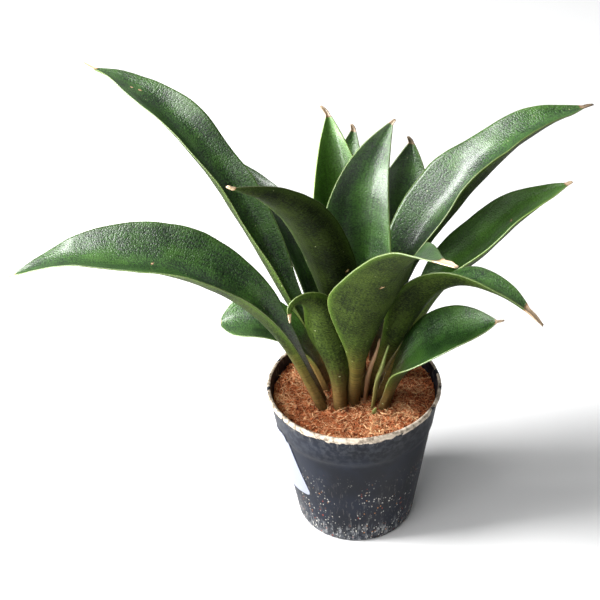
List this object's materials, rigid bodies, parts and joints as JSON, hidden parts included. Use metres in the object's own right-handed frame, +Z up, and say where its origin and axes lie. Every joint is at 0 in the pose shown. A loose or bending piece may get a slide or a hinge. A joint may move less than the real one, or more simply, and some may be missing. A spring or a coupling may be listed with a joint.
{
  "type": "potted snake plant",
  "caption": "Snake plant with broad channelled leathery leaves rising from one clump in a round stepped plastic nursery pot filled with coir.",
  "frame": {"origin": "centre of the underside of the pot's foot, on the surface it stands on", "axes": "+Z up along the pot's axis, -Y toward the front of the plant, +X to the right seen from the front; the leaves spread furthest along X"},
  "size_m": [0.3757, 0.2521, 0.3086],
  "materials": {
    "pot_plastic": "dark blue-grey moulded plastic, satin, weathered with beige crust on the rim and pale and rusty specks low down",
    "coir": "dry reddish-brown coconut fibre and crumbs, matt",
    "label_paper": "bare white sticker, smooth satin, nothing printed on it",
    "leaf_green": "leathery dark green with faint pale cross mottling, silvery sheen, thin yellow-green margin and a dry tan point",
    "dry_sheath": "papery dry tan bud scale",
    "green_shoot": "young yellow-green scale, matt"
  },
  "bodies": {
    "root": {"pot": "pot_plastic", "potting_mix": "coir", "pot_label": "label_paper", "leaf_left_tall": "leaf_green", "leaf_left_arching": "leaf_green", "leaf_left_near": "leaf_green", "leaf_left_behind": "leaf_green", "leaf_back_left_drooping": "leaf_green", "leaf_centre_left": "leaf_green", "leaf_centre_back": "leaf_green", "leaf_centre_broad": "leaf_green", "leaf_back_right": "leaf_green", "leaf_right_tall": "leaf_green", "leaf_right_middle": "leaf_green", "leaf_right_drooping": "leaf_green", "leaf_front_broad": "leaf_green", "leaf_front_curled": "leaf_green", "leaf_right_low": "leaf_green", "sheath_left": "dry_sheath", "sheath_tall": "dry_sheath", "sheath_green": "green_shoot", "shoot_young": "green_shoot"}
  },
  "joints": []
}
